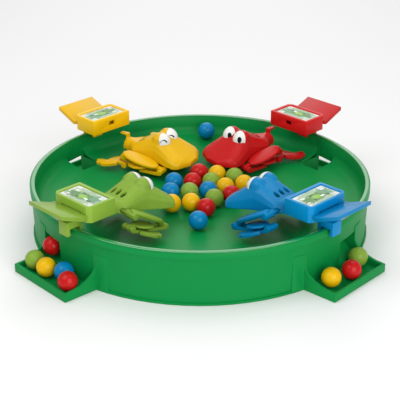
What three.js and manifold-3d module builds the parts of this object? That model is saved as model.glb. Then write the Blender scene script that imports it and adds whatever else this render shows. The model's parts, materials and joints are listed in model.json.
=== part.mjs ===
import * as THREE from 'three';
import { mergeVertices } from 'three/addons/utils/BufferGeometryUtils.js';
import Module from 'manifold-3d';

const wasm = await Module();
wasm.setup();

// general
const gap = 0.3;
const overrun = 4;
const wall = 2;
const fullTurn = 2 * Math.PI;
const degree = Math.PI / 180;

// marbles, and the radius their pile takes in the middle of the dish
const marbleRadius = 7.5;
const marbleSides = 10;
const marbleRings = 7;
const marblePitch = 2 * marbleRadius + gap;
const pileRadius = 39.7;

// the rim is as far out as the pile, a frog and a launcher housing need
const frogLength = 66;
const homeGap = 0.8;
const housingLong = 25;
const rimStandoff = 3.5;
const homeTail = pileRadius + frogLength;
const housingInner = homeTail + homeGap;
const housingOuter = housingInner + housingLong;
const trayRadius = housingOuter + rimStandoff;

// tray
const dishCentreHeight = 18.5;
const dishRise = 8;
const basinDepth = 16.5;
const dishEdgeHeight = dishCentreHeight + dishRise;
const trayHeight = dishEdgeHeight + basinDepth;
const rimWidth = 4;
const rimDrop = 6;
const wallThick = 2.3;
const wallTopInset = 0.8;
const wallBaseInset = 2.1;
const footInset = 0.6;
const footHeight = 1.6;
const dishEdgeInset = 13.5;
const dishThick = 2.2;
const dishPower = 2.6;
const filletRadius = 7;
const traySides = 72;
const dishSteps = 6;
const filletSteps = 3;
const rimSteps = 3;
const wallTopRadius = trayRadius - wallTopInset;
const wallBaseRadius = trayRadius - wallBaseInset;
const footRadius = trayRadius - footInset;
const dishEdgeRadius = trayRadius - dishEdgeInset;

// troughs and chutes
const troughAzimuthAngle = 42.3;
const troughReach = 25.6;
const troughSlack = 0.427;
const troughEndShare = 1.41;
const troughLip = 6.5;
const troughFloor = 2;
const troughDepth = wallBaseRadius + troughReach;
const troughHalf = troughEndShare * marblePitch + marbleRadius + troughSlack + wall;
const gussetHeight = 25;
const gussetSteps = 5;
const pilasterWidth = 10;
const pilasterHeight = 29;
const pilasterOut = 1.4;
const chuteWidth = 22;
const chuteOffset = 19;
const chuteLong = 28;
const chuteRoom = 6.5;
const chuteEnd = 4;
const chuteInner = trayRadius - chuteLong;
const chuteTop = dishCentreHeight + chuteRoom;

// launcher housing
const stationShares = [5 / 8, 7 / 8, 3 / 8, 1 / 8];
const housingHalf = 20;
const housingStand = 8;
const housingHigh = 12.5;
const housingCorner = 3;
const housingBase = trayHeight + housingStand;
const housingTop = housingBase + housingHigh;
const cardBorder = 2.5;
const cardRecess = 1.2;
const slotHalf = 11;
const slotSill = 1.4;
const slotOpen = 5.2;
const slotLow = housingBase + slotSill;
const slotHigh = slotLow + slotOpen;
const baseThick = 1.2;
const baseLong = 14.5;
const baseInner = housingOuter - baseLong;
const saddleHigh = 6;
const saddleTop = trayHeight + saddleHigh;
const mouthSill = 4.9;
const mouthOpen = 3.6;
const mouthLow = housingBase + mouthSill;
const mouthHigh = mouthLow + mouthOpen;
const clipHalf = 4.8;
const clipReach = 4.6;
const clipThick = 2.6;
const clipDeep = 5;
const clipBarb = 1.1;
const clipInset = 9.6;
const clipInnerDeep = 3;
const clipOuter = trayRadius + clipReach;
const clipLow = trayHeight - clipDeep;
const clipInner = trayRadius - clipInset;
const clipInnerLow = trayHeight - clipInnerDeep;
const cheekThick = 2.4;

// lever
const pivotInset = 7;
const pivotUp = 4.6;
const pivotRadius = housingOuter - pivotInset;
const pivotHeight = housingBase + pivotUp;
const pinRadius = 1.5;
const leverNeckHalf = 9.5;
const leverThick = 2.6;
const bladeGap = 0.5;
const bladeLong = 22.5;
const bladeStart = housingOuter + bladeGap;
const bladeEnd = bladeStart + bladeLong;
const bladeHalf = 18.7;
const bladeRise = 10;
const bladeThick = 3;
const fingerInset = 2.5;
const fingerDrop = 1.9;
const fingerTip = housingInner + fingerInset;
const fingerTop = pivotHeight - fingerDrop;
const fingerThick = 2.2;
const fingerHalf = 6;

// frog shell
const frogHalf = 22;
const frogCrown = 22;
const shellThick = 1.8;
const roundPower = 0.72;
const stationOfShares = [0, 0.1, 0.2, 0.4, 0.52, 0.64, 0.76, 0.86, 0.92, 0.97, 1];
const halfWidthShares = [0.3, 0.36, 0.69, 0.68, 0.71, 0.83, 0.96, 1, 0.86, 0.52, 0.3];
const crownShares = [0.36, 0.4, 0.45, 0.8, 0.98, 0.8, 0.6, 0.43, 0.34, 0.25, 0.2];
const ringSteps = 11;
const eyeForward = 36.5;
const eyeApart = 6.4;
const eyeHeight = 15.4;
const eyeLong = 8.6;
const eyeWide = 7;
const eyeTall = 7.8;
const eyeSides = 12;
const eyeRings = 6;
const ventLong = 4.4;
const ventWide = 2.2;
const ventForward = 18;
const ventApart = 5.5;
const tabLong = 6;
const tabLow = 10.9;
const tabThick = 1.6;
const tabHalf = 2.5;

// legs
const hipForward = 12.3;
const hipUp = 2.6;
const legApart = 22.3;
const legHalf = 5.2;
const leafThick = 2.4;
const leafDrop = 0.3;
const jointRadius = 2.6;
const jointSides = 8;
const tongueHalf = 1.9;
const forkLong = 16.5;
const ankleFork = 6.5;
const thighLength = 35;
const shinLength = 34;
const footLength = 23;
const footReach = 16.5;
const hipBoss = 3;
const leafBulgeShare = 1.28;
const footShares = [
  [0.46, -0.26], [0.58, 0.02], [0.66, 0.42], [0.88, 0.48], [1, 0.6], [0.95, 0.7],
  [0.85, 0.68], [0.93, 0.84], [0.86, 0.94], [0.76, 0.88], [0.7, 0.78],
  [0.73, 0.95], [0.65, 1], [0.55, 0.95], [0.34, 0.72], [0.2, 0.48],
];

// poses of the frogs: where the tail or the nose is, heading, pitch and leg angles
const homeDrop = 5.5;
const homeLift = housingBase - homeDrop;
const homePitchAngle = 8.5;
const homeHipAngle = 23;
const homeKneeAngle = 16.7;
const homeAnkleAngle = 4.7;
const yellowNoseShares = [-0.306769242, 3.433766472];
const yellowHeadingAngle = -27;
const redNoseShares = [0.621461866, 3.409467594];
const redHeadingAngle = 219;
const leapStand = 6.8;
const leapLift = dishEdgeHeight + leapStand;
const leapPitchAngle = 3.5;
const leapHipAngle = 9.3;
const leapNearKneeAngle = 12.3;
const leapNearAnkleAngle = 182;
const leapFarKneeAngle = 9;
const leapFarAnkleAngle = -1;

// colours
const trayGreen = 0x139048;
const frogGreen = 0x87a03c;
const frogBlue = 0x0078b4;
const frogYellow = 0xdcb41e;
const frogRed = 0xc32323;

function material(colour) {
  return new THREE.MeshStandardMaterial({ color: colour, roughness: 0.35, metalness: 0 });
}

function toSolid(geometry) {
  const plain = geometry.clone();
  plain.deleteAttribute('normal');
  plain.deleteAttribute('uv');
  const merged = mergeVertices(plain, gap * gap * gap * gap);
  return new wasm.Manifold(new wasm.Mesh({
    numProp: 3,
    vertProperties: new Float32Array(merged.attributes.position.array),
    triVerts: new Uint32Array(merged.index.array),
  }));
}

function toGeometry(solid) {
  const mesh = solid.getMesh();
  const geometry = new THREE.BufferGeometry();
  geometry.setAttribute('position', new THREE.BufferAttribute(new Float32Array(mesh.vertProperties), 3));
  geometry.setIndex(new THREE.BufferAttribute(new Uint32Array(mesh.triVerts), 1));
  const flat = geometry.toNonIndexed();
  flat.computeVertexNormals();
  return flat;
}

function block(x0, x1, y0, y1, z0, z1) {
  const geometry = new THREE.BoxGeometry(x1 - x0, y1 - y0, z1 - z0);
  geometry.translate((x0 + x1) / 2, (y0 + y1) / 2, (z0 + z1) / 2);
  return toSolid(geometry);
}

function shapeOf(points) {
  return new THREE.Shape(points.map(([a, b]) => new THREE.Vector2(a, b)));
}

// a plate whose outline lies in plan, from z0 up to z1
function plate(points, z0, z1) {
  const geometry = new THREE.ExtrudeGeometry(shapeOf(points), { depth: z1 - z0, bevelEnabled: false });
  geometry.translate(0, 0, z0);
  return toSolid(geometry);
}

// a plate whose outline lies in the x-z plane, from y0 to y1
function profile(points, y0, y1) {
  const geometry = new THREE.ExtrudeGeometry(shapeOf(points), { depth: y1 - y0, bevelEnabled: false });
  geometry.rotateX(Math.PI / 2);
  geometry.translate(0, y1, 0);
  return toSolid(geometry);
}

// a rod along y
function rod(x, z, radius, y0, y1, sides) {
  const geometry = new THREE.CylinderGeometry(radius, radius, y1 - y0, sides);
  geometry.translate(x, (y0 + y1) / 2, z);
  return toSolid(geometry);
}

function ball(radiusX, radiusY, radiusZ, x, y, z, sides, rings) {
  const geometry = new THREE.SphereGeometry(1, sides, rings);
  geometry.rotateX(Math.PI / 2);
  geometry.scale(radiusX, radiusY, radiusZ);
  geometry.translate(x, y, z);
  return toSolid(geometry);
}

function spun(points, sides) {
  const geometry = new THREE.LatheGeometry(points.map(([r, z]) => new THREE.Vector2(r, z)), sides);
  geometry.rotateX(Math.PI / 2);
  return toSolid(geometry);
}

function drum(radius, z0, z1) {
  return spun([[0, z0], [radius, z0], [radius, z1], [0, z1]], traySides);
}

function turned(solid, azimuth) {
  return solid.rotate([0, 0, azimuth]);
}

function flipped(solid) {
  return solid.mirror([0, 1, 0]);
}

function dishHeight(r) {
  const rise = dishEdgeHeight - dishCentreHeight;
  return dishCentreHeight + rise * Math.pow(Math.min(r / dishEdgeRadius, 1), dishPower);
}

// tray: one turned shell of outer wall, rolled rim and raised dish
function trayShell() {
  const points = [[0, dishCentreHeight - dishThick]];
  for (let i = 1; i <= dishSteps; i += 1) {
    const r = dishEdgeRadius * i / dishSteps;
    points.push([r, dishHeight(r) - dishThick]);
  }
  const wallInner = wallBaseRadius - wallThick;
  points.push([wallInner, dishEdgeHeight]);
  points.push([wallInner, 0]);
  points.push([footRadius, 0]);
  points.push([footRadius, footHeight]);
  points.push([wallBaseRadius, footHeight]);
  points.push([wallTopRadius, trayHeight - rimDrop]);
  points.push([trayRadius, trayHeight - rimDrop]);
  const rimRound = rimWidth / 2;
  for (let i = 0; i <= rimSteps; i += 1) {
    const angle = Math.PI * i / rimSteps;
    const r = trayRadius - rimRound + rimRound * Math.cos(angle);
    points.push([r, trayHeight - rimRound + rimRound * Math.sin(angle)]);
  }
  const filletCentre = [trayRadius - rimWidth - filletRadius, dishEdgeHeight + filletRadius];
  for (let i = 0; i <= filletSteps; i += 1) {
    const angle = Math.PI / 2 * i / filletSteps;
    const r = filletCentre[0] + filletRadius * Math.cos(angle);
    points.push([r, filletCentre[1] - filletRadius * Math.sin(angle)]);
  }
  for (let i = dishSteps; i >= 0; i -= 1) {
    const r = dishEdgeRadius * i / dishSteps;
    points.push([r, dishHeight(r)]);
  }
  return spun(points, traySides);
}

// one trough along +x, its chute on the side given by the sign
function troughBody() {
  const inner = Math.sqrt(wallBaseRadius * wallBaseRadius - troughHalf * troughHalf) - wallThick;
  const floor = block(inner, troughDepth, -troughHalf, troughHalf, 0, troughFloor);
  const lip = block(troughDepth - wall, troughDepth, -troughHalf, troughHalf, 0, troughLip);
  const edge = [[inner, 0], [troughDepth, 0], [troughDepth, troughLip]];
  const reach = troughDepth - wall - inner;
  for (let i = 1; i <= gussetSteps; i += 1) {
    const share = i / gussetSteps;
    const rise = (gussetHeight - troughLip) * (1 - Math.sqrt(1 - share * share));
    edge.push([troughDepth - wall - reach * share, troughLip + rise]);
  }
  const left = profile(edge, troughHalf - wall, troughHalf);
  const pilasterInner = inner - overrun;
  const pilasterShape = [
    [pilasterInner, troughHalf - wall],
    [pilasterInner, troughHalf + pilasterWidth],
    [wallBaseRadius, troughHalf + pilasterWidth],
    [wallBaseRadius, troughHalf - wall],
  ];
  const pilaster = plate(pilasterShape, 0, pilasterHeight)
    .intersect(drum(wallBaseRadius + pilasterOut, 0, pilasterHeight));
  return floor.add(lip).add(left).add(flipped(left)).add(pilaster).add(flipped(pilaster))
    .subtract(drum(wallBaseRadius - wallThick, -overrun, pilasterHeight + overrun));
}

function chuteSolid(side) {
  const outer = wallBaseRadius - wallThick / 2;
  const low = chuteEnd - wall;
  const start = dishHeight(chuteInner) - dishThick / 2;
  const points = [
    [chuteInner - wall, start - wall],
    [outer, low],
    [outer, start],
    [chuteInner - wall, start],
  ];
  const half = chuteWidth / 2 + wall;
  return profile(points, side * chuteOffset - half, side * chuteOffset + half)
    .intersect(drum(outer, 0, trayHeight));
}

function chuteVoid(side) {
  const start = dishHeight(chuteInner);
  const middle = side * chuteOffset;
  const half = chuteWidth / 2;
  const run = wallBaseRadius + pilasterOut + overrun;
  const slope = (start - chuteEnd) / (wallBaseRadius - chuteInner);
  const ramp = [
    [chuteInner, start],
    [wallBaseRadius, chuteEnd],
    [run, chuteEnd],
    [run, trayHeight + overrun],
    [chuteInner - overrun / 2, trayHeight + overrun],
    [chuteInner - overrun / 2, start + slope * overrun / 2],
  ];
  const whole = profile(ramp, middle - half, middle + half);
  const inside = whole.intersect(drum(trayRadius - rimWidth, 0, trayHeight + 2 * overrun));
  const through = whole.intersect(block(chuteInner, run, middle - half, middle + half, 0, chuteTop));
  return inside.add(through);
}

function trayGeometry() {
  let solid = trayShell();
  const places = [
    [troughAzimuthAngle, 1],
    [180 - troughAzimuthAngle, -1],
    [180 + troughAzimuthAngle, 1],
    [360 - troughAzimuthAngle, -1],
  ];
  for (const [azimuth, side] of places) {
    solid = solid.add(turned(troughBody(), azimuth)).add(turned(chuteSolid(-side), azimuth));
  }
  for (const [azimuth, side] of places) {
    solid = solid.subtract(turned(chuteVoid(-side), azimuth));
  }
  return toGeometry(solid);
}

// launcher housing along +x, held over the rim by its clip
function housingGeometry() {
  const corner = housingCorner;
  const outline = (inset) => [
    [housingInner + inset, -housingHalf + inset],
    [housingOuter - corner, -housingHalf + inset],
    [housingOuter - inset, -housingHalf + corner],
    [housingOuter - inset, housingHalf - corner],
    [housingOuter - corner, housingHalf - inset],
    [housingInner + inset, housingHalf - inset],
  ];
  let solid = plate(outline(0), housingBase, housingTop);
  solid = solid.subtract(plate(outline(wall), housingBase - overrun, housingTop - cardRecess - wall));
  solid = solid.subtract(plate(outline(cardBorder), housingTop - cardRecess, housingTop + overrun));
  const baseHalf = leverNeckHalf + gap + cheekThick;
  solid = solid.add(block(baseInner, housingOuter - wall / 2, -baseHalf, baseHalf,
    housingBase, housingBase + baseThick));
  for (const side of [-1, 1]) {
    const near = side * (leverNeckHalf + gap);
    const far = side * (leverNeckHalf + gap + cheekThick);
    solid = solid.add(block(pivotRadius - 2 * cheekThick, pivotRadius + 2 * cheekThick,
      Math.min(near, far), Math.max(near, far), housingBase, housingTop - cardRecess - wall / 2));
  }
  solid = solid.subtract(rod(pivotRadius, pivotHeight, pinRadius + gap,
    -baseHalf - overrun, baseHalf + overrun, jointSides));
  solid = solid.subtract(block(housingOuter - wall - overrun, housingOuter + overrun,
    -slotHalf, slotHalf, slotLow, slotHigh));
  const mouthHalf = tabHalf + 2 * gap;
  solid = solid.subtract(block(housingInner - overrun, housingInner + wall + overrun / 2,
    -mouthHalf, mouthHalf, mouthLow, mouthHigh));
  const saddle = block(clipInner, clipOuter, -clipHalf, clipHalf, trayHeight + gap, saddleTop)
    .add(block(clipInner, housingOuter, -clipHalf, clipHalf, trayHeight + gap, housingBase + baseThick / 2));
  const tab = block(clipOuter - clipThick, clipOuter, -clipHalf, clipHalf, clipLow, trayHeight + wall);
  const leg = block(clipInner, clipInner + clipThick, -clipHalf, clipHalf, clipInnerLow, trayHeight + wall);
  const barbLow = clipLow;
  const barb = profile([
    [clipOuter - clipThick - clipBarb, barbLow + clipBarb],
    [clipOuter - clipThick / 2, barbLow],
    [clipOuter - clipThick / 2, trayHeight - rimDrop - gap + clipThick],
    [clipOuter - clipThick, trayHeight - rimDrop - gap + clipThick],
  ], -clipHalf, clipHalf);
  return toGeometry(solid.add(saddle).add(tab).add(leg).add(barb));
}

// lever: finger under the frog's tail, neck through the slot, wide blade outside
function leverGeometry() {
  const neckLow = pivotHeight - leverThick / 2;
  const neckHigh = pivotHeight + leverThick / 2;
  const neck = block(baseInner - 2 * wall, bladeStart + bladeThick / 2,
    -leverNeckHalf, leverNeckHalf, neckLow, neckHigh);
  const finger = profile([
    [fingerTip, fingerTop],
    [fingerTip, fingerTop - fingerThick],
    [baseInner - 2 * wall, fingerTop - fingerThick],
    [baseInner - wall / 2, neckLow],
    [baseInner - wall / 2, neckHigh],
    [baseInner - 2 * wall, neckHigh],
    [baseInner - 2.5 * wall, fingerTop],
  ], -fingerHalf, fingerHalf);
  const pinHalf = leverNeckHalf + gap + cheekThick;
  const pin = rod(pivotRadius, pivotHeight, pinRadius, -pinHalf, pinHalf, jointSides);
  const blade = profile([
    [bladeStart, neckLow],
    [bladeStart + bladeThick, neckLow - bladeThick / 4],
    [bladeEnd, neckLow + bladeRise - bladeThick],
    [bladeEnd, neckLow + bladeRise],
    [bladeStart + bladeThick, neckHigh],
    [bladeStart, neckHigh],
  ], -bladeHalf, bladeHalf);
  return toGeometry(neck.add(finger).add(pin).add(blade));
}

// closed loft through rings of equal count
function loft(rings) {
  const positions = [];
  const count = rings[0].length;
  for (const ring of rings) {
    for (const point of ring) {
      positions.push(...point);
    }
  }
  const index = [];
  for (let i = 0; i < rings.length - 1; i += 1) {
    for (let j = 0; j < count; j += 1) {
      const a = i * count + j;
      const b = i * count + (j + 1) % count;
      index.push(a, b, a + count, b, b + count, a + count);
    }
  }
  for (const [ring, flip] of [[0, true], [rings.length - 1, false]]) {
    for (let j = 1; j < count - 1; j += 1) {
      const a = ring * count;
      const b = a + j;
      const c = a + j + 1;
      index.push(...(flip ? [a, c, b] : [a, b, c]));
    }
  }
  const geometry = new THREE.BufferGeometry();
  geometry.setAttribute('position', new THREE.BufferAttribute(new Float32Array(positions), 3));
  geometry.setIndex(index);
  return geometry;
}

function frogRings(inset, low) {
  return stationOfShares.map((share, i) => {
    const half = frogHalf * halfWidthShares[i] - inset;
    const high = frogCrown * crownShares[i] - inset;
    const first = inset * (1 - 2 * share);
    const x = frogLength * share + first;
    const ring = [];
    for (let j = 0; j < ringSteps; j += 1) {
      const angle = Math.PI * j / (ringSteps - 1);
      const across = Math.sign(Math.cos(angle)) * Math.pow(Math.abs(Math.cos(angle)), roundPower);
      const up = Math.pow(Math.max(Math.sin(angle), 0), roundPower);
      ring.push([x, half * across, low + (high - low) * up]);
    }
    return ring;
  });
}

function solidOfLoft(geometry) {
  return new wasm.Manifold(new wasm.Mesh({
    numProp: 3,
    vertProperties: new Float32Array(geometry.attributes.position.array),
    triVerts: new Uint32Array(geometry.index.array),
  }));
}

// hollow frog shell, open below, its mouth the wide front of the shell
function frogGeometry() {
  let outer = solidOfLoft(loft(frogRings(0, 0)));
  let inner = solidOfLoft(loft(frogRings(shellThick, -overrun)));
  for (const side of [-1, 1]) {
    const y = side * eyeApart;
    outer = outer.add(ball(eyeLong, eyeWide, eyeTall, eyeForward, y, eyeHeight, eyeSides, eyeRings));
    const less = 2 * shellThick;
    inner = inner.add(ball(eyeLong - less, eyeWide - less, eyeTall - less,
      eyeForward, y, eyeHeight, eyeSides / 2, eyeRings / 2));
  }
  outer = outer.subtract(block(0, frogLength, -frogHalf, frogHalf, -frogCrown, 0));
  let solid = outer.subtract(inner);
  for (const place of [-1, 0, 1]) {
    const y = place * ventApart;
    solid = solid.subtract(block(ventForward - ventLong / 2, ventForward + ventLong / 2,
      y - ventWide / 2, y + ventWide / 2, frogCrown / 4, frogCrown));
  }
  solid = solid.subtract(rod(hipForward, hipUp, pinRadius + gap, -frogHalf, frogHalf, jointSides));
  solid = solid.add(block(-tabLong, shellThick, -tabHalf, tabHalf, tabLow, tabLow + tabThick))
    .add(block(0, shellThick, -tabHalf, tabHalf, tabLow / 2, tabLow + tabThick / 2));
  return toGeometry(solid);
}

const cheekInner = tongueHalf + gap;
const leafHigh = leafDrop + leafThick;

// a tongue with its hole at the origin, its arm running to +x above the axis
function tongueEnd(length) {
  return rod(0, 0, jointRadius, -tongueHalf, tongueHalf, jointSides)
    .add(block(0, length, -tongueHalf, tongueHalf, leafDrop, jointRadius))
    .subtract(rod(0, 0, pinRadius + gap, -legHalf, legHalf, jointSides));
}

// a fork with its pin at the origin, its arms running to +x below the axis
function forkEnd(length) {
  let solid = rod(0, 0, pinRadius, -legHalf, legHalf, jointSides);
  for (const side of [-1, 1]) {
    const low = side > 0 ? cheekInner : -legHalf;
    const high = side > 0 ? legHalf : -cheekInner;
    solid = solid.add(rod(0, 0, jointRadius, low, high, jointSides));
    solid = solid.add(block(0, length, low, high, -jointRadius, -leafDrop));
  }
  return solid;
}

function reversed(solid, length) {
  return solid.mirror([1, 0, 0]).translate([length, 0, 0]);
}

function leafOutline(from, to) {
  const bulge = legHalf * leafBulgeShare;
  const middle = (from + to) / 2;
  return [
    [from, -legHalf], [middle, -bulge], [to, -legHalf],
    [to, legHalf], [middle, bulge], [from, legHalf],
  ];
}

// both thighs on one cross axle; x runs from the hip to the knee
function thighsGeometry() {
  const one = plate(leafOutline(0, thighLength - forkLong), leafDrop, leafHigh)
    .add(rod(0, 0, hipBoss, -legHalf, legHalf, jointSides))
    .add(reversed(tongueEnd(forkLong + wall), thighLength));
  const axle = rod(0, 0, pinRadius, -legApart, legApart, jointSides);
  return toGeometry(axle.add(one.translate([0, legApart, 0])).add(one.translate([0, -legApart, 0])));
}

// shin: fork below at the knee, tongue above at the ankle, its leaf stepped up behind the fork
function shinGeometry() {
  const from = forkLong + gap;
  const solid = forkEnd(from + wall)
    .add(block(from, from + wall, -legHalf, legHalf, -jointRadius, leafHigh))
    .add(plate(leafOutline(from, shinLength - ankleFork), leafDrop, leafHigh))
    .add(reversed(tongueEnd(ankleFork + wall), shinLength));
  return toGeometry(solid);
}

// left foot: fork at the ankle and a webbed leaf fanning outward in three toes
function footGeometry() {
  const outline = footShares.map(([along, across]) => [footLength * along, footReach * across]);
  outline.unshift([ankleFork, -legHalf]);
  outline.push([ankleFork, legHalf]);
  return toGeometry(forkEnd(ankleFork + wall).add(plate(outline, -leafHigh, -leafDrop)));
}

const root = new THREE.Group();
root.name = 'frog_marble_game';

function addMesh(parent, name, geometry, colour) {
  const mesh = new THREE.Mesh(geometry, material(colour));
  mesh.name = name;
  parent.add(mesh);
  return mesh;
}

addMesh(root, 'tray', trayGeometry(), trayGreen);

const housingShape = housingGeometry();
const leverShape = leverGeometry();
const frogShape = frogGeometry();
const thighsShape = thighsGeometry();
const shinShape = shinGeometry();
const footLeftShape = footGeometry();
const footRightShape = toGeometry(flipped(toSolid(footLeftShape)));

const homePlace = (share) => ({
  x: homeTail * Math.cos(share * fullTurn),
  y: homeTail * Math.sin(share * fullTurn),
  z: homeLift,
  heading: share * 360 + 180,
  pitch: homePitchAngle,
  hip: homeHipAngle,
  knees: [homeKneeAngle, homeKneeAngle],
  ankles: [homeAnkleAngle, homeAnkleAngle],
});
const leapPlace = (noseShares, heading, leftIsNear) => ({
  x: noseShares[0] * marblePitch - frogLength * Math.cos(heading * degree),
  y: noseShares[1] * marblePitch - frogLength * Math.sin(heading * degree),
  z: leapLift,
  heading,
  pitch: leapPitchAngle,
  hip: leapHipAngle,
  knees: leftIsNear ? [leapNearKneeAngle, leapFarKneeAngle] : [leapFarKneeAngle, leapNearKneeAngle],
  ankles: leftIsNear ? [leapNearAnkleAngle, leapFarAnkleAngle] : [leapFarAnkleAngle, leapNearAnkleAngle],
});

const stations = [
  { name: 'green', colour: frogGreen, frog: homePlace(stationShares[0]) },
  { name: 'blue', colour: frogBlue, frog: homePlace(stationShares[1]) },
  { name: 'yellow', colour: frogYellow, frog: leapPlace(yellowNoseShares, yellowHeadingAngle, false) },
  { name: 'red', colour: frogRed, frog: leapPlace(redNoseShares, redHeadingAngle, true) },
];

function addFrog(name, colour, place) {
  const body = new THREE.Group();
  body.name = `frog_group_${name}`;
  body.rotation.set(0, place.pitch * degree, place.heading * degree, 'ZYX');
  body.position.set(place.x, place.y, place.z);
  root.add(body);
  addMesh(body, `frog_${name}`, frogShape, colour);
  const hip = new THREE.Group();
  hip.name = `hip_group_${name}`;
  hip.position.set(hipForward, 0, hipUp);
  hip.rotation.y = place.hip * degree;
  body.add(hip);
  addMesh(hip, `thighs_${name}`, thighsShape, colour);
  for (const [sideName, side, shape] of [['left', 1, footLeftShape], ['right', -1, footRightShape]]) {
    const knee = new THREE.Group();
    knee.name = `knee_group_${sideName}_${name}`;
    knee.position.set(thighLength, side * legApart, 0);
    knee.rotation.y = Math.PI - place.knees[side > 0 ? 0 : 1] * degree;
    hip.add(knee);
    const shin = addMesh(knee, `shin_${sideName}_${name}`, shinShape, colour);
    shin.rotation.x = Math.PI;
    const ankle = new THREE.Group();
    ankle.name = `ankle_group_${sideName}_${name}`;
    ankle.position.set(shinLength, 0, 0);
    ankle.rotation.y = Math.PI + place.ankles[side > 0 ? 0 : 1] * degree;
    knee.add(ankle);
    addMesh(ankle, `foot_${sideName}_${name}`, shape, colour);
  }
}

for (const [i, { name, colour, frog }] of stations.entries()) {
  const share = stationShares[i];
  const housing = addMesh(root, `housing_${name}`, housingShape, colour);
  housing.rotation.z = share * fullTurn;
  const lever = addMesh(root, `lever_${name}`, leverShape, colour);
  lever.rotation.z = share * fullTurn;
  addFrog(name, colour, frog);
}

// marbles lying on the dish or in a trough, places in marble pitches from the tray centre
const paints = { b: frogBlue, y: frogYellow, r: frogRed, g: frogGreen };
const names = { b: 'blue', y: 'yellow', r: 'red', g: 'green' };
const marbleShape = new THREE.SphereGeometry(marbleRadius, marbleSides, marbleRings);
marbleShape.rotateX(Math.PI / 2);
const counts = { b: 0, y: 0, r: 0, g: 0 };

function addMarble(letter, x, y, z) {
  counts[letter] += 1;
  const mesh = addMesh(root, `marble_${names[letter]}_${counts[letter]}`, marbleShape, paints[letter]);
  mesh.position.set(x, y, z);
}

const dishMarbleShares = [
  ['b', -1.41, 1.46], ['b', -1.56, 0.18], ['y', -1.46, -1.29], ['g', -0.55, 0.18],
  ['y', -0.46, -1.14], ['r', -0.05, 2.64], ['r', -0.40, 1.45], ['g', 0.60, 1.48],
  ['y', 0.93, 2.43], ['y', 1.35, 0.81], ['b', 0.44, 0.35], ['g', 0.75, -0.61],
  ['r', 1.66, -0.20], ['y', 2.36, 1.13], ['r', 0.31, -1.80], ['b', -0.09, -3.39],
  ['g', 1.87, 2.05], ['g', 1.59, 4.59],
];
function addDishMarble(letter, x, y) {
  const r = Math.hypot(x, y);
  const slope = (dishHeight(r + gap) - dishHeight(r)) / gap;
  addMarble(letter, x, y, dishHeight(r) + (marbleRadius + gap) * Math.hypot(1, slope));
}

for (const [letter, xShare, yShare] of dishMarbleShares) {
  addDishMarble(letter, xShare * marblePitch, yShare * marblePitch);
}

// one marble that has rolled back to the wall, its place in shares of the dish edge's radius
const farMarbleShares = [0.046592593, 0.964592593];
addDishMarble('b', farMarbleShares[0] * dishEdgeRadius, farMarbleShares[1] * dishEdgeRadius);

// marbles in the two front troughs: share of the trough's depth past the wall, then place along it
const troughRun = troughDepth - wall - wallBaseRadius - 2 * marbleRadius;
const troughMarbles = [
  [180 + troughAzimuthAngle, [
    ['g', 0.75, -troughEndShare], ['y', 0.82, -0.41], ['b', 0.15, 0.52], ['r', 0.93, troughEndShare],
  ]],
  [360 - troughAzimuthAngle, [['y', 0.46, -1.13], ['r', 0.93, 0.14], ['g', 0.0, troughEndShare]]],
];
for (const [azimuth, marbleShares] of troughMarbles) {
  for (const [letter, outShare, alongShare] of marbleShares) {
    const out = wallBaseRadius + marbleRadius + troughRun * outShare;
    const along = alongShare * marblePitch;
    const angle = azimuth * degree;
    addMarble(letter, out * Math.cos(angle) - along * Math.sin(angle),
      out * Math.sin(angle) + along * Math.cos(angle), troughFloor + marbleRadius + gap);
  }
}

// one marble just rolling out of the left chute
const rollingAlong = -chuteOffset - marbleRadius / 3;
const rollingOut = wallBaseRadius - marbleRadius / 3;
const rollingAngle = (180 + troughAzimuthAngle) * degree;
const rampSlope = (dishHeight(chuteInner) - chuteEnd) / (wallBaseRadius - chuteInner);
addMarble('r', rollingOut * Math.cos(rollingAngle) - rollingAlong * Math.sin(rollingAngle),
  rollingOut * Math.sin(rollingAngle) + rollingAlong * Math.cos(rollingAngle),
  chuteEnd + (wallBaseRadius - rollingOut) * rampSlope + (marbleRadius + gap) * Math.hypot(1, rampSlope));

export default root;
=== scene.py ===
import bpy
import json
import math
from mathutils import Matrix, Vector


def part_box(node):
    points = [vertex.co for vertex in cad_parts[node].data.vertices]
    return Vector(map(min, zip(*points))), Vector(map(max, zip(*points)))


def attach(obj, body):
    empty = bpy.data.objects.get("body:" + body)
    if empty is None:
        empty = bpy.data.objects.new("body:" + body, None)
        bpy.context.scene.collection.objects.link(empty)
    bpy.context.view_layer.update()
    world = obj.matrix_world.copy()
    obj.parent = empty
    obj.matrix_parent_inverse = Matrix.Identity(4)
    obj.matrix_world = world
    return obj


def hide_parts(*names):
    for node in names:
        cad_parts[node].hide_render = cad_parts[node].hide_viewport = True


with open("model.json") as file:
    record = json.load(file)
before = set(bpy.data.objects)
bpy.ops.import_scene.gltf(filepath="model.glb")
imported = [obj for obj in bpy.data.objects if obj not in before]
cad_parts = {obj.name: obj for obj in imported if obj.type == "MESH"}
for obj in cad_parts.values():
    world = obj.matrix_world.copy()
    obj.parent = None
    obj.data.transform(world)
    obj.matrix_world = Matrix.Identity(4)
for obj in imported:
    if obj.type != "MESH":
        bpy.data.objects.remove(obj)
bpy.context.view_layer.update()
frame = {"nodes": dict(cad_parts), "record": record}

mm = 0.001
frogColours = ["green", "blue", "yellow", "red"]
paintColours = {
    "green": (0.215, 0.355, 0.040, 1),
    "blue": (0.001, 0.195, 0.440, 1),
    "yellow": (0.740, 0.430, 0.003, 1),
    "red": (0.500, 0.009, 0.009, 1),
    "tray": (0.002, 0.240, 0.050, 1),
    "white": (0.80, 0.80, 0.78, 1),
    "black": (0.006, 0.006, 0.008, 1),
}


# materials

def newMaterial(name):
    mat = bpy.data.materials.new(name)
    mat.use_nodes = True
    return mat, mat.node_tree, mat.node_tree.nodes["Principled BSDF"]


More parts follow.
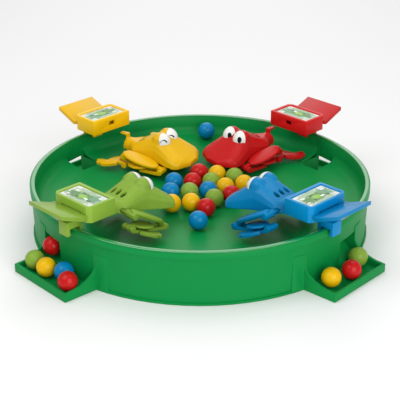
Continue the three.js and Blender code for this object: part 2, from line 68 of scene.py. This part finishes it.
def mixColours(tree, factor, first, second):
    mix = tree.nodes.new("ShaderNodeMix")
    mix.data_type = "RGBA"
    mix.clamp_factor = True
    tree.links.new(factor, mix.inputs["Factor"])
    for socketIndex, value in ((6, first), (7, second)):
        if isinstance(value, tuple):
            mix.inputs[socketIndex].default_value = value
        else:
            tree.links.new(value, mix.inputs[socketIndex])
    return mix.outputs[2]


def calculate(tree, operation, a, b=None):
    node = tree.nodes.new("ShaderNodeMath")
    node.operation = operation
    for socket, value in zip(node.inputs, (a, b)):
        if value is None:
            continue
        if isinstance(value, (int, float)):
            socket.default_value = value
        else:
            tree.links.new(value, socket)
    return node.outputs[0]


plasticLook = {
    "roughness": 0.31,
    "specular": 0.15,
    "coat": 0.05,
    "coatRoughness": 0.15,
    "mottleScale": 90,
    "mottle": 0.25,
    "mottleDetail": 3,
    "mottleShade": 0.8,
    "grain": 0.04 * mm,
    "grainScale": 1500,
    "grainStrength": 0.15,
}
# painted light: the launcher boxes' plastic is painted this much lighter to lift their shaded sides
paintedLightBoxFactor = 1.2
marbleRoughness = 0.16
trayPolish = {"roughness": 0.42, "mottleScale": 14, "polish": 0.7}
rimPolish = {"roughness": 0.16, "mottleScale": 14, "polish": 6}


def plasticMaterial(name, colour, roughness=None, mottleScale=None, polish=1):
    # moulded plastic: a faint mottle in the colour and a faint moulding grain
    mat, tree, shader = newMaterial(name)
    coords = tree.nodes.new("ShaderNodeTexCoord").outputs["Object"]
    cloud = tree.nodes.new("ShaderNodeTexNoise")
    cloud.inputs["Scale"].default_value = mottleScale or plasticLook["mottleScale"]
    cloud.inputs["Detail"].default_value = plasticLook["mottleDetail"]
    tree.links.new(coords, cloud.inputs["Vector"])
    share = calculate(tree, "MULTIPLY", cloud.outputs["Fac"], plasticLook["mottle"])
    darker = tuple(c * plasticLook["mottleShade"] for c in colour[:3]) + (1,)
    tree.links.new(mixColours(tree, share, colour, darker), shader.inputs["Base Color"])
    shader.inputs["Roughness"].default_value = roughness or plasticLook["roughness"]
    shader.inputs["Specular IOR Level"].default_value = plasticLook["specular"] * polish
    shader.inputs["Coat Weight"].default_value = plasticLook["coat"] * polish
    shader.inputs["Coat Roughness"].default_value = plasticLook["coatRoughness"]
    grain = tree.nodes.new("ShaderNodeTexNoise")
    grain.inputs["Scale"].default_value = plasticLook["grainScale"]
    tree.links.new(coords, grain.inputs["Vector"])
    bump = tree.nodes.new("ShaderNodeBump")
    bump.inputs["Strength"].default_value = plasticLook["grainStrength"]
    bump.inputs["Distance"].default_value = plasticLook["grain"]
    tree.links.new(grain.outputs["Fac"], bump.inputs["Height"])
    tree.links.new(bump.outputs["Normal"], shader.inputs["Normal"])
    return mat


print("materials: plastics")
bodyPlastic = {c: plasticMaterial(f"{c} plastic", paintColours[c]) for c in frogColours}
# the boxes' plastic with painted light: the frog colours made lighter for the boxes' shaded sides
boxPlasticPaintedLight = {c: plasticMaterial(f"{c} box plastic painted lighter", (*(paintedLightBoxFactor * v for v in paintColours[c][:3]), 1))
              for c in frogColours}
marblePlastic = {c: plasticMaterial(f"{c} marble", paintColours[c], roughness=marbleRoughness)
                 for c in frogColours}
trayPlastic = plasticMaterial("tray green plastic", paintColours["tray"], **trayPolish)
rimPlastic = plasticMaterial("rim green plastic", paintColours["tray"], **rimPolish)
eyeWhite = plasticMaterial("eye white", paintColours["white"], roughness=0.25)
eyeBlack = plasticMaterial("eye black", paintColours["black"], roughness=0.2)


# shared modelling steps

def finishPiece(piece, body, nodes, material):
    piece.data.materials.clear()
    piece.data.materials.append(material)
    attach(piece, body)
    if nodes:
        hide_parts(*nodes)
    return piece


def selectOnly(piece):
    bpy.ops.object.select_all(action="DESELECT")
    piece.select_set(True)
    bpy.context.view_layer.objects.active = piece


def applyModifier(piece, kind, **settings):
    modifier = piece.modifiers.new(kind.lower(), kind)
    for key, value in settings.items():
        setattr(modifier, key, value)
    selectOnly(piece)
    bpy.ops.object.modifier_apply(modifier=modifier.name)


weld = {"distance": 0.002 * mm, "flat": 0.5}


def copyOfNode(node, name):
    # the CAD piece as one welded mesh, its flat faces joined again
    piece = bpy.data.objects.new(name, frame["nodes"][node].data.copy())
    bpy.context.scene.collection.objects.link(piece)
    selectOnly(piece)
    bpy.ops.object.mode_set(mode="EDIT")
    bpy.ops.mesh.select_all(action="SELECT")
    bpy.ops.mesh.remove_doubles(threshold=weld["distance"])
    bpy.ops.mesh.dissolve_limited(angle_limit=math.radians(weld["flat"]))
    bpy.ops.object.mode_set(mode="OBJECT")
    return piece


def smoothByAngle(piece, degrees):
    selectOnly(piece)
    bpy.ops.object.shade_smooth_by_angle(angle=math.radians(degrees))


def bodyOfNode(node):
    for body, nodes in frame["record"]["behaviour"]["bodies"].items():
        if node in nodes:
            return body
    return None


edgeRound = {"width": 0.35 * mm, "segments": 2, "angle": 32, "smoothAngle": 40}


def roundedCopy(node, name, material):
    piece = copyOfNode(node, name)
    applyModifier(piece, "BEVEL", width=edgeRound["width"], segments=edgeRound["segments"],
                  limit_method="ANGLE", angle_limit=math.radians(edgeRound["angle"]))
    smoothByAngle(piece, edgeRound["smoothAngle"])
    return finishPiece(piece, bodyOfNode(node), [node], material)


# tray

trayLook = {"edge": 0.7 * mm, "segments": 3, "angle": 36, "smoothAngle": 40}
rimLook = {
    "radius": 133 * mm,
    "half": 2 * mm,
    "height": 0.6 * mm,
    "top": 43.08 * mm,
    "around": 180,
    "across": 16,
}

print("tray")
trayPiece = copyOfNode("tray", "tray_moulding")
applyModifier(trayPiece, "BEVEL", width=trayLook["edge"], segments=trayLook["segments"], limit_method="ANGLE",
              angle_limit=math.radians(trayLook["angle"]))
smoothByAngle(trayPiece, trayLook["smoothAngle"])
finishPiece(trayPiece, "base", ["tray"], trayPlastic)

# the rolled rim's glossy crown: a flattened ring, cut off level below
bpy.ops.object.select_all(action="DESELECT")
bpy.ops.mesh.primitive_torus_add(major_radius=rimLook["radius"], minor_radius=rimLook["half"],
                                 major_segments=rimLook["around"], minor_segments=rimLook["across"])
rimCrown = bpy.context.object
rimCrown.name = "tray_rim_crown"
rimCrown.data.transform(Matrix.Diagonal((1, 1, rimLook["height"] / rimLook["half"], 1)))
selectOnly(rimCrown)
bpy.ops.object.mode_set(mode="EDIT")
bpy.ops.mesh.select_all(action="SELECT")
bpy.ops.mesh.bisect(plane_co=(0, 0, -rimLook["height"] / 2), plane_no=(0, 0, 1), clear_inner=True,
                    use_fill=True)
bpy.ops.object.mode_set(mode="OBJECT")
rimCrown.data.transform(Matrix.Translation((0, 0, rimLook["top"] - rimLook["height"])))
smoothByAngle(rimCrown, trayLook["smoothAngle"])
finishPiece(rimCrown, "base", [], rimPlastic)


# launchers

print("launchers")
for colour in frogColours:
    # the boxes take the plastic painted lighter, painted light for their shaded sides
    roundedCopy(f"housing_{colour}", f"launcher_box_{colour}", boxPlasticPaintedLight[colour])
    roundedCopy(f"lever_{colour}", f"launcher_lever_{colour}", bodyPlastic[colour])


# where each frog stands: its tail, heading, pitch, hip and left and right knee, and where its eyes look
frogPlaces = {
    "green": {"tail": (-0.07474, -0.07474, 0.0455), "heading": 45, "pitch": 8.5,
              "hip": 23, "knees": (16.7, 16.7), "gaze": 0},
    "blue": {"tail": (0.07474, -0.07474, 0.0455), "heading": 135, "pitch": 8.5,
             "hip": 23, "knees": (16.7, 16.7), "gaze": 0},
    "yellow": {"tail": (-0.0635, 0.0825, 0.0333), "heading": -27, "pitch": 3.5,
               "hip": 9.3, "knees": (9, 12.3), "gaze": -46},
    "red": {"tail": (0.0608, 0.0937, 0.0333), "heading": 219, "pitch": 3.5,
            "hip": 9.3, "knees": (12.3, 9), "gaze": 32},
}


def frogFrame(colour):
    place = frogPlaces[colour]
    heading = Matrix.Rotation(math.radians(place["heading"]), 4, "Z")
    pitch = Matrix.Rotation(math.radians(place["pitch"]), 4, "Y")
    return Matrix.Translation(place["tail"]) @ (heading @ pitch)


def roundedCube(cuts):
    # a cube blown up to a ball of radius 1, with even faces all round
    bpy.ops.object.select_all(action="DESELECT")
    bpy.ops.mesh.primitive_cube_add(size=1)
    ball = bpy.context.object
    bpy.ops.object.mode_set(mode="EDIT")
    bpy.ops.mesh.select_all(action="SELECT")
    bpy.ops.mesh.subdivide(number_cuts=cuts)
    bpy.ops.transform.tosphere(value=1)
    bpy.ops.object.mode_set(mode="OBJECT")
    for vertex in ball.data.vertices:
        vertex.co.normalize()
    return ball


# frog legs: the moulded bars, with an oval pad on each thigh and each shin

legLook = {
    "hip": (12.3 * mm, 0, 2.6 * mm),
    "apart": 22.3 * mm,
    "thigh": 35 * mm,
    "padHalf": 8 * mm,
    "padOut": 1.3 * mm,
    "thighPad": {"from": -2.6 * mm, "to": 31.5 * mm, "low": 0.5 * mm, "high": 4.8 * mm},
    "shinPad": {"from": 12.5 * mm, "to": 30.8 * mm, "low": 0.4 * mm, "high": 3.3 * mm},
    "cuts": 11,
    "squareness": 0.5,
}


def hipFrame(colour):
    bend = Matrix.Rotation(math.radians(frogPlaces[colour]["hip"]), 4, "Y")
    return frogFrame(colour) @ Matrix.Translation(legLook["hip"]) @ bend


def shinFrame(colour, side):
    fold = math.pi - math.radians(frogPlaces[colour]["knees"][0 if side > 0 else 1])
    knee = Matrix.Translation((legLook["thigh"], side * legLook["apart"], 0))
    return hipFrame(colour) @ knee @ Matrix.Rotation(fold, 4, "Y") @ Matrix.Rotation(math.pi, 4, "X")


def legPad(look, across, place):
    # a ball pressed into a low pad with a full oval outline
    pad = roundedCube(legLook["cuts"])
    for vertex in pad.data.vertices:
        vertex.co.z = math.copysign(abs(vertex.co.z) ** legLook["squareness"], vertex.co.z)
    length = (look["to"] - look["from"]) / 2
    height = (look["high"] - look["low"]) / 2
    pad.data.transform(Matrix.Diagonal((length, legLook["padHalf"], height, 1)))
    pad.data.transform(place @ Matrix.Translation((look["from"] + length, across, look["low"] + height)))
    return pad


print("legs")
for colour in frogColours:
    roundedCopy(f"thighs_{colour}", f"frog_thighs_{colour}", bodyPlastic[colour])
    for side, sideName in ((1, "left"), (-1, "right")):
        out = side * (legLook["apart"] + legLook["padOut"])
        thighPad = legPad(legLook["thighPad"], out, hipFrame(colour))
        shinPad = legPad(legLook["shinPad"], -side * legLook["padOut"], shinFrame(colour, side))
        for pad, name, body in ((thighPad, "thigh_pad", f"thighs_{colour}"),
                                (shinPad, "shin_pad", f"shin_{sideName}_{colour}")):
            pad.name = f"{name}_{sideName}_{colour}"
            selectOnly(pad)
            bpy.ops.object.shade_smooth()
            finishPiece(pad, body, [], bodyPlastic[colour])
        for part in ("shin", "foot"):
            roundedCopy(f"{part}_{sideName}_{colour}", f"frog_{part}_{sideName}_{colour}",
                        bodyPlastic[colour])


# frog shells

shellLook = {
    "voxel": 0.6 * mm,
    "smoothing": 0.5,
    "rounds": 6,
    "ventForward": 18 * mm,
    "ventApart": 5.5 * mm,
    "ventSize": (3 * mm, 1.7 * mm, 12 * mm),
    "ventCuts": 5,
    "smoothAngle": 50,
}

print("frog shells")
for colour in frogColours:
    shell = copyOfNode(f"frog_{colour}", f"frog_shell_{colour}")
    applyModifier(shell, "REMESH", mode="VOXEL", voxel_size=shellLook["voxel"])
    applyModifier(shell, "SMOOTH", factor=shellLook["smoothing"], iterations=shellLook["rounds"])
    for place in (-1, 0, 1):
        cutter = roundedCube(shellLook["ventCuts"])
        cutter.data.transform(Matrix.Diagonal(shellLook["ventSize"] + (1,)))
        cutter.data.transform(frogFrame(colour) @ Matrix.Translation(
            (shellLook["ventForward"], place * shellLook["ventApart"], shellLook["ventSize"][2])))
        applyModifier(shell, "BOOLEAN", operation="DIFFERENCE", object=cutter)
        bpy.data.objects.remove(cutter)
    smoothByAngle(shell, shellLook["smoothAngle"])
    finishPiece(shell, f"frog_{colour}", [f"frog_{colour}"], bodyPlastic[colour])


# painted eyes: white over the front of each dome, with a black pupil or a closed lid's line

eyeLook = {
    "centre": (36.5 * mm, 6.4 * mm, 15.4 * mm),
    "radii": (8.6 * mm, 7 * mm, 7.8 * mm),
    "paint": 0.14 * mm,
    "cuts": 15,
    "whiteTilt": 14,
    "whiteFrom": 2.4 * mm,
    "pupilTilt": 20,
    "pupilRadii": (1.9 * mm, 2.6 * mm),
    "lidRadius": 3 * mm,
    "lidWidth": 0.6 * mm,
    "lidSides": 10,
    "lidSteps": 12,
    "lidStart": 0.12,
    "lidSweep": 0.76,
    "whiteSmooth": 40,
    "markSmooth": 60,
}


def keepFront(piece, point, normal):
    selectOnly(piece)
    bpy.ops.object.mode_set(mode="EDIT")
    bpy.ops.mesh.select_all(action="SELECT")
    bpy.ops.mesh.bisect(plane_co=point, plane_no=normal, clear_inner=True)
    bpy.ops.object.mode_set(mode="OBJECT")


def eyeWhitePiece(colour, side):
    look = eyeLook
    patch = roundedCube(look["cuts"])
    patch.data.transform(Matrix.Diagonal([radius + look["paint"] for radius in look["radii"]] + [1]))
    tilt = math.radians(look["whiteTilt"])
    normal = (math.cos(tilt), 0, math.sin(tilt))
    keepFront(patch, [look["whiteFrom"] * part for part in normal], normal)
    applyModifier(patch, "SOLIDIFY", thickness=2 * look["paint"], offset=-1)
    centre = look["centre"]
    patch.data.transform(frogFrame(colour) @ Matrix.Translation((centre[0], side * centre[1], centre[2])))
    return patch


def onEye(colour, side, across, up, lift):
    # a point on the painted dome: across and up are angles from where the eye looks
    look = eyeLook
    turn = math.radians(frogPlaces[colour]["gaze"]) + across
    tilt = math.radians(look["pupilTilt"]) + up
    ray = Vector((math.cos(tilt) * math.cos(turn), math.cos(tilt) * math.sin(turn), math.sin(tilt)))
    radii = look["radii"]
    size = 1 / math.sqrt(sum((ray[i] / radii[i]) ** 2 for i in range(3)))
    centre = Vector((look["centre"][0], side * look["centre"][1], look["centre"][2]))
    return centre + ray * (size + lift)


def pupilPiece(colour, side):
    look = eyeLook
    bead = roundedCube(look["cuts"])
    across, up = look["pupilRadii"]
    centre = onEye(colour, side, 0, 0, 0)
    domeCentre = Vector((look["centre"][0], side * look["centre"][1], look["centre"][2]))
    facing = (centre - domeCentre).to_track_quat("X", "Z").to_matrix().to_4x4()
    bead.data.transform(frogFrame(colour) @ Matrix.Translation(centre) @ facing
                        @ Matrix.Diagonal((4 * look["paint"], across, up, 1)))
    return bead


def lidPiece(colour, side):
    # the smiling line of a closed eye, a thin arc swept over the dome
    look = eyeLook
    points = []
    steps = look["lidSteps"]
    for i in range(steps + 1):
        angle = math.pi * (look["lidStart"] + look["lidSweep"] * i / steps)
        radius = look["lidRadius"] / look["radii"][1]
        across, up = radius * math.cos(angle), radius * math.sin(angle) - radius / 2
        points.append(onEye(colour, side, across, up, look["paint"]))
    bpy.ops.object.select_all(action="DESELECT")
    bpy.ops.mesh.primitive_circle_add(vertices=look["lidSides"], radius=look["lidWidth"], fill_type="NGON")
    lid = bpy.context.object
    lid.data.transform((points[1] - points[0]).to_track_quat("Z", "Y").to_matrix().to_4x4())
    lid.data.transform(Matrix.Translation(points[0]))
    for before, after in zip(points, points[1:]):
        bpy.ops.object.mode_set(mode="EDIT")
        bpy.ops.mesh.select_mode(type="FACE")
        bpy.ops.mesh.select_all(action="DESELECT")
        bpy.ops.object.mode_set(mode="OBJECT")
        caps = [face for face in lid.data.polygons if len(face.vertices) == look["lidSides"]]
        min(caps, key=lambda face: (face.center - before).length).select = True
        bpy.ops.object.mode_set(mode="EDIT")
        bpy.ops.mesh.extrude_region_move(TRANSFORM_OT_translate={"value": after - before})
        bpy.ops.object.mode_set(mode="OBJECT")
    lid.data.transform(frogFrame(colour))
    return lid


print("eyes")
for colour in frogColours:
    for side, sideName in ((1, "left"), (-1, "right")):
        white = eyeWhitePiece(colour, side)
        white.name = f"eye_white_{sideName}_{colour}"
        smoothByAngle(white, eyeLook["whiteSmooth"])
        finishPiece(white, f"frog_{colour}", [], eyeWhite)
        mark = lidPiece(colour, side) if colour == "yellow" else pupilPiece(colour, side)
        mark.name = f"eye_mark_{sideName}_{colour}"
        smoothByAngle(mark, eyeLook["markSmooth"])
        finishPiece(mark, f"frog_{colour}", [], eyeBlack)


# printed labels in the launcher boxes' recesses: plain patches of leaf green on cream, no lettering, and one
# small pale patch that is a painted highlight

labelLook = {
    "middle": 119 * mm,
    "height": 62.45 * mm,
    "size": (19.2 * mm, 34.2 * mm, 0.25 * mm),
    "corner": 1.2 * mm,
    "cornerSegments": 5,
    "edge": 0.06 * mm,
    "edgeAngle": 60,
    "rough": 0.38,
    "ground": (0.66, 0.68, 0.66, 1),
    "raggedScale": 0.55,
    "raggedDetail": 3,
    "raggedReach": 4,
    "crispness": 9,
}
stationTurns = {"green": 225, "blue": 315, "yellow": 135, "red": 45}
# centre and half size of each patch in mm, across the label and outward, then its colour and raggedness
labelPatches = [
    (0, 0, 18.5, 10.2, (0.32, 0.44, 0.28, 1), 0.2),
    (9, -1.5, 6.5, 5.4, (0.10, 0.27, 0.13, 1), 0.5),
    (-9, 1.5, 6, 4.8, (0.07, 0.20, 0.05, 1), 0.55),
    (-0.5, 0.5, 7.8, 5.4, (0.055, 0.22, 0.02, 1), 0.4),
    (-0.5, 0.8, 4.6, 3.2, (0.22, 0.44, 0.03, 1), 0.3),
    # painted highlight: this small pale patch stands for a glint of light on the label, not for print
    (4.4, 2.2, 2.2, 1.1, (0.78, 0.86, 0.72, 1), 0.12),
    (-4.5, 3.4, 2, 1, (0.02, 0.05, 0.02, 1), 0.4),
    (-3.2, -2.8, 1.9, 1, (0.02, 0.05, 0.02, 1), 0.4),
    (9.5, 3.2, 2.6, 1.3, (0.03, 0.09, 0.04, 1), 0.5),
    (-11, -3.6, 2.8, 1.3, (0.62, 0.70, 0.58, 1), 0.4),
    (-12.5, 4.2, 2.2, 0.9, (0.66, 0.62, 0.60, 1), 0.4),
    (12.5, -5, 2.2, 1, (0.66, 0.70, 0.62, 1), 0.4),
]


def labelMaterial(colour):
    mat, tree, shader = newMaterial(f"printed label {colour}")
    turn = math.radians(stationTurns[colour])
    place = tree.nodes.new("ShaderNodeMapping")
    place.vector_type = "TEXTURE"
    middle = labelLook["middle"]
    place.inputs["Location"].default_value = (middle * math.cos(turn), middle * math.sin(turn), 0)
    place.inputs["Rotation"].default_value = (0, 0, turn + math.pi / 2)
    place.inputs["Scale"].default_value = (mm, mm, mm)
    tree.links.new(tree.nodes.new("ShaderNodeTexCoord").outputs["Object"], place.inputs["Vector"])
    ragged = tree.nodes.new("ShaderNodeTexNoise")
    ragged.inputs["Scale"].default_value = labelLook["raggedScale"]
    ragged.inputs["Detail"].default_value = labelLook["raggedDetail"]
    tree.links.new(place.outputs["Vector"], ragged.inputs["Vector"])
    sides = tree.nodes.new("ShaderNodeSeparateXYZ")
    tree.links.new(place.outputs["Vector"], sides.inputs["Vector"])
    shown = labelLook["ground"]
    for across, outward, halfAcross, halfOutward, paint, raggedness in labelPatches:
        x = calculate(tree, "DIVIDE", calculate(tree, "ADD", sides.outputs["X"], -across), halfAcross)
        y = calculate(tree, "DIVIDE", calculate(tree, "ADD", sides.outputs["Y"], outward), halfOutward)
        reach = calculate(tree, "SQRT", calculate(tree, "ADD", calculate(tree, "MULTIPLY", x, x),
                                                  calculate(tree, "MULTIPLY", y, y)))
        wave = calculate(tree, "MULTIPLY", calculate(tree, "ADD", ragged.outputs["Fac"], -0.5),
                         labelLook["raggedReach"] * raggedness)
        inside = calculate(tree, "SUBTRACT", 1, calculate(tree, "ADD", reach, wave))
        share = calculate(tree, "MULTIPLY", inside, labelLook["crispness"])
        share.node.use_clamp = True
        shown = mixColours(tree, share, shown, paint)
    tree.links.new(shown, shader.inputs["Base Color"])
    shader.inputs["Roughness"].default_value = labelLook["rough"]
    return mat


print("labels")
for colour in frogColours:
    bpy.ops.object.select_all(action="DESELECT")
    bpy.ops.mesh.primitive_cube_add(size=1)
    label = bpy.context.object
    label.name = f"label_{colour}"
    label.data.transform(Matrix.Diagonal(labelLook["size"] + (1,)))
    bpy.ops.object.mode_set(mode="EDIT")
    bpy.ops.mesh.select_all(action="DESELECT")
    bpy.ops.object.mode_set(mode="OBJECT")
    for edge in label.data.edges:
        ends = [label.data.vertices[i].co for i in edge.vertices]
        edge.select = abs(ends[0].z - ends[1].z) > labelLook["size"][2] / 2
    bpy.ops.object.mode_set(mode="EDIT")
    bpy.ops.mesh.bevel(offset=labelLook["corner"], segments=labelLook["cornerSegments"], affect="EDGES")
    bpy.ops.object.mode_set(mode="OBJECT")
    applyModifier(label, "BEVEL", width=labelLook["edge"], segments=1, limit_method="ANGLE",
                  angle_limit=math.radians(labelLook["edgeAngle"]))
    turn = Matrix.Rotation(math.radians(stationTurns[colour]), 4, "Z")
    label.data.transform(turn @ Matrix.Translation((labelLook["middle"], 0, labelLook["height"])))
    finishPiece(label, "base", [], labelMaterial(colour))


# marbles

marbleLook = {"cuts": 11}

print("marbles")
for node in sorted(n for n in frame["nodes"] if n.startswith("marble_")):
    low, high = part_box(node)
    radius = (high.z - low.z) / 2
    ball = roundedCube(marbleLook["cuts"])
    ball.data.transform(Matrix.Translation((low + high) / 2) @ Matrix.Scale(radius, 4))
    ball.name = node + "_ball"
    selectOnly(ball)
    bpy.ops.object.shade_smooth()
    shade = node.split("_")[1]
    finishPiece(ball, "base", [node], marblePlastic[shade])


# camera, floor and light

cameraView = {"place": (0, -0.834, 0.4107), "elevation": 25.1, "lens": 102.6, "sensor": 36}

print("camera and light")
cameraData = bpy.data.cameras.new("camera")
cameraData.lens = cameraView["lens"]
cameraData.sensor_width = cameraView["sensor"]
camera = bpy.data.objects.new("camera", cameraData)
camera.location = cameraView["place"]
camera.rotation_euler = (math.radians(90 - cameraView["elevation"]), 0, 0)
bpy.context.scene.collection.objects.link(camera)
bpy.context.scene.camera = camera

floorLook = {"size": 8, "below": 0.2 * mm, "grey": 0.82, "roughness": 0.7}
worldStrength = 0.5

bpy.ops.object.select_all(action="DESELECT")
bpy.ops.mesh.primitive_plane_add(size=floorLook["size"], location=(0, 0, -floorLook["below"]))
floor = bpy.context.object
floor.name = "floor"
floorMaterial, floorTree, floorShader = newMaterial("floor")
floorShader.inputs["Base Color"].default_value = (floorLook["grey"], floorLook["grey"], floorLook["grey"], 1)
floorShader.inputs["Roughness"].default_value = floorLook["roughness"]
floor.data.materials.append(floorMaterial)

world = bpy.data.worlds.new("studio")
bpy.context.scene.world = world
world.use_nodes = True
world.node_tree.nodes["Background"].inputs["Color"].default_value = (1, 1, 1, 1)
world.node_tree.nodes["Background"].inputs["Strength"].default_value = worldStrength

lamps = [
    {"name": "key", "place": (-0.5, -0.35, 0.9), "size": 0.7, "power": 4.2, "shine": 0.7},
    {"name": "top", "place": (0.15, 0.35, 1.0), "size": 0.8, "power": 2.8, "shine": 0.3},
    {"name": "fill", "place": (0.45, -1.0, 0.5), "size": 0.9, "power": 8.4, "shine": 0.4},
    {"name": "rim", "place": (0, 1.15, 0.6), "size": 0.9, "power": 3, "shine": 0.8},
]
for lamp in lamps:
    data = bpy.data.lights.new(lamp["name"], "AREA")
    data.energy = lamp["power"]
    data.size = lamp["size"]
    data.specular_factor = lamp["shine"]
    light = bpy.data.objects.new(lamp["name"], data)
    light.location = lamp["place"]
    light.rotation_euler = (-Vector(lamp["place"])).to_track_quat("-Z", "Y").to_euler()
    bpy.context.scene.collection.objects.link(light)

bpy.context.scene.view_settings.view_transform = "Standard"
